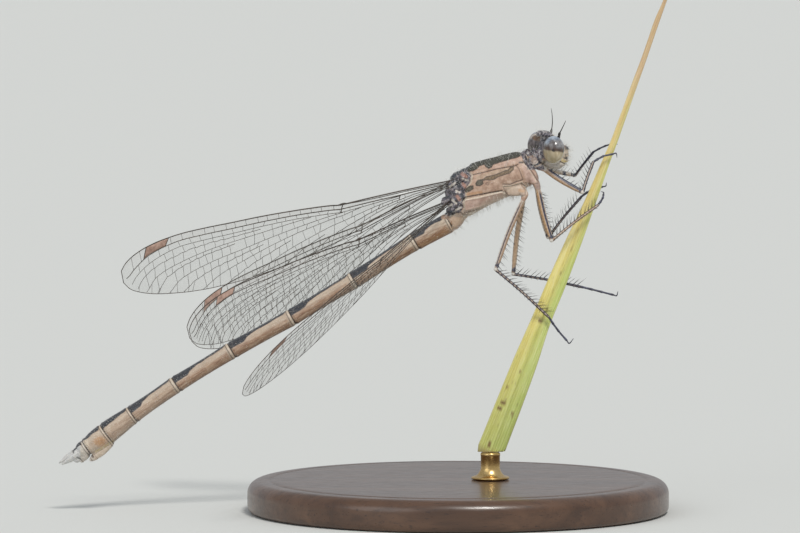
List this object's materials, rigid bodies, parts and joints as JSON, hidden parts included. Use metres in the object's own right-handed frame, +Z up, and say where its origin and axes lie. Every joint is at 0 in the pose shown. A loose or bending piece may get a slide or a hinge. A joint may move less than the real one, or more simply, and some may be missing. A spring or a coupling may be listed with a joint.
{
  "type": "damselfly museum model",
  "caption": "Life-size still model of a winter damselfly clinging to a cut blade of grass, wings half closed, held on a low round display stand.",
  "frame": {"origin": "the middle of the whole model's footprint, on the floor under the stand base", "axes": "+X towards the insect's head and along the longest side, +Z up, the insect's right side faces -Y"},
  "size_m": [0.0382, 0.0264, 0.0325],
  "materials": {
    "cuticle_tan": "satin insect cuticle, pinkish tan with dark bronze marks",
    "cuticle_dark": "satin insect cuticle, dark bronze and tan",
    "cuticle_pale": "satin pale insect cuticle",
    "eye": "glossy compound eye, grey above and olive cream below",
    "leg_cuticle": "satin insect cuticle, brown with dark stripes",
    "feeler": "satin black cuticle",
    "wing": "clear thin membrane with dark veins",
    "grass": "dry yellow-green leaf with fine lengthwise ribs",
    "stand_wood": "dark walnut, satin varnish",
    "stand_brass": "satin brass"
  },
  "bodies": {
    "root": {"head": "cuticle_dark", "eye_right": "eye", "eye_left": "eye", "prothorax": "cuticle_dark", "neck": "cuticle_dark", "synthorax": "cuticle_tan", "antenna_right": "feeler", "antenna_left": "feeler", "abdomen_01": "cuticle_tan", "abdomen_02": "cuticle_tan", "abdomen_03": "cuticle_tan", "abdomen_04": "cuticle_tan", "abdomen_05": "cuticle_tan", "abdomen_06": "cuticle_tan", "abdomen_07": "cuticle_tan", "abdomen_08": "cuticle_tan", "abdomen_09": "cuticle_tan", "abdomen_10": "cuticle_pale", "cercus_right": "cuticle_pale", "cercus_left": "cuticle_pale", "ovipositor": "cuticle_pale", "perch_grass_blade": "grass", "coxa_right_fore": "leg_cuticle", "femur_right_fore": "leg_cuticle", "tibia_right_fore": "leg_cuticle", "tarsus_right_fore": "leg_cuticle", "coxa_left_fore": "leg_cuticle", "femur_left_fore": "leg_cuticle", "tibia_left_fore": "leg_cuticle", "tarsus_left_fore": "leg_cuticle", "coxa_right_mid": "leg_cuticle", "femur_right_mid": "leg_cuticle", "tibia_right_mid": "leg_cuticle", "tarsus_right_mid": "leg_cuticle", "coxa_left_mid": "leg_cuticle", "femur_left_mid": "leg_cuticle", "tibia_left_mid": "leg_cuticle", "tarsus_left_mid": "leg_cuticle", "coxa_right_hind": "leg_cuticle", "femur_right_hind": "leg_cuticle", "tibia_right_hind": "leg_cuticle", "tarsus_right_hind": "leg_cuticle", "coxa_left_hind": "leg_cuticle", "femur_left_hind": "leg_cuticle", "tibia_left_hind": "leg_cuticle", "tarsus_left_hind": "leg_cuticle", "wing_right_fore": "wing", "wing_right_hind": "wing", "wing_left_fore": "wing", "wing_left_hind": "wing", "stand_base": "stand_wood", "stand_rod": "stand_brass"}
  },
  "joints": []
}
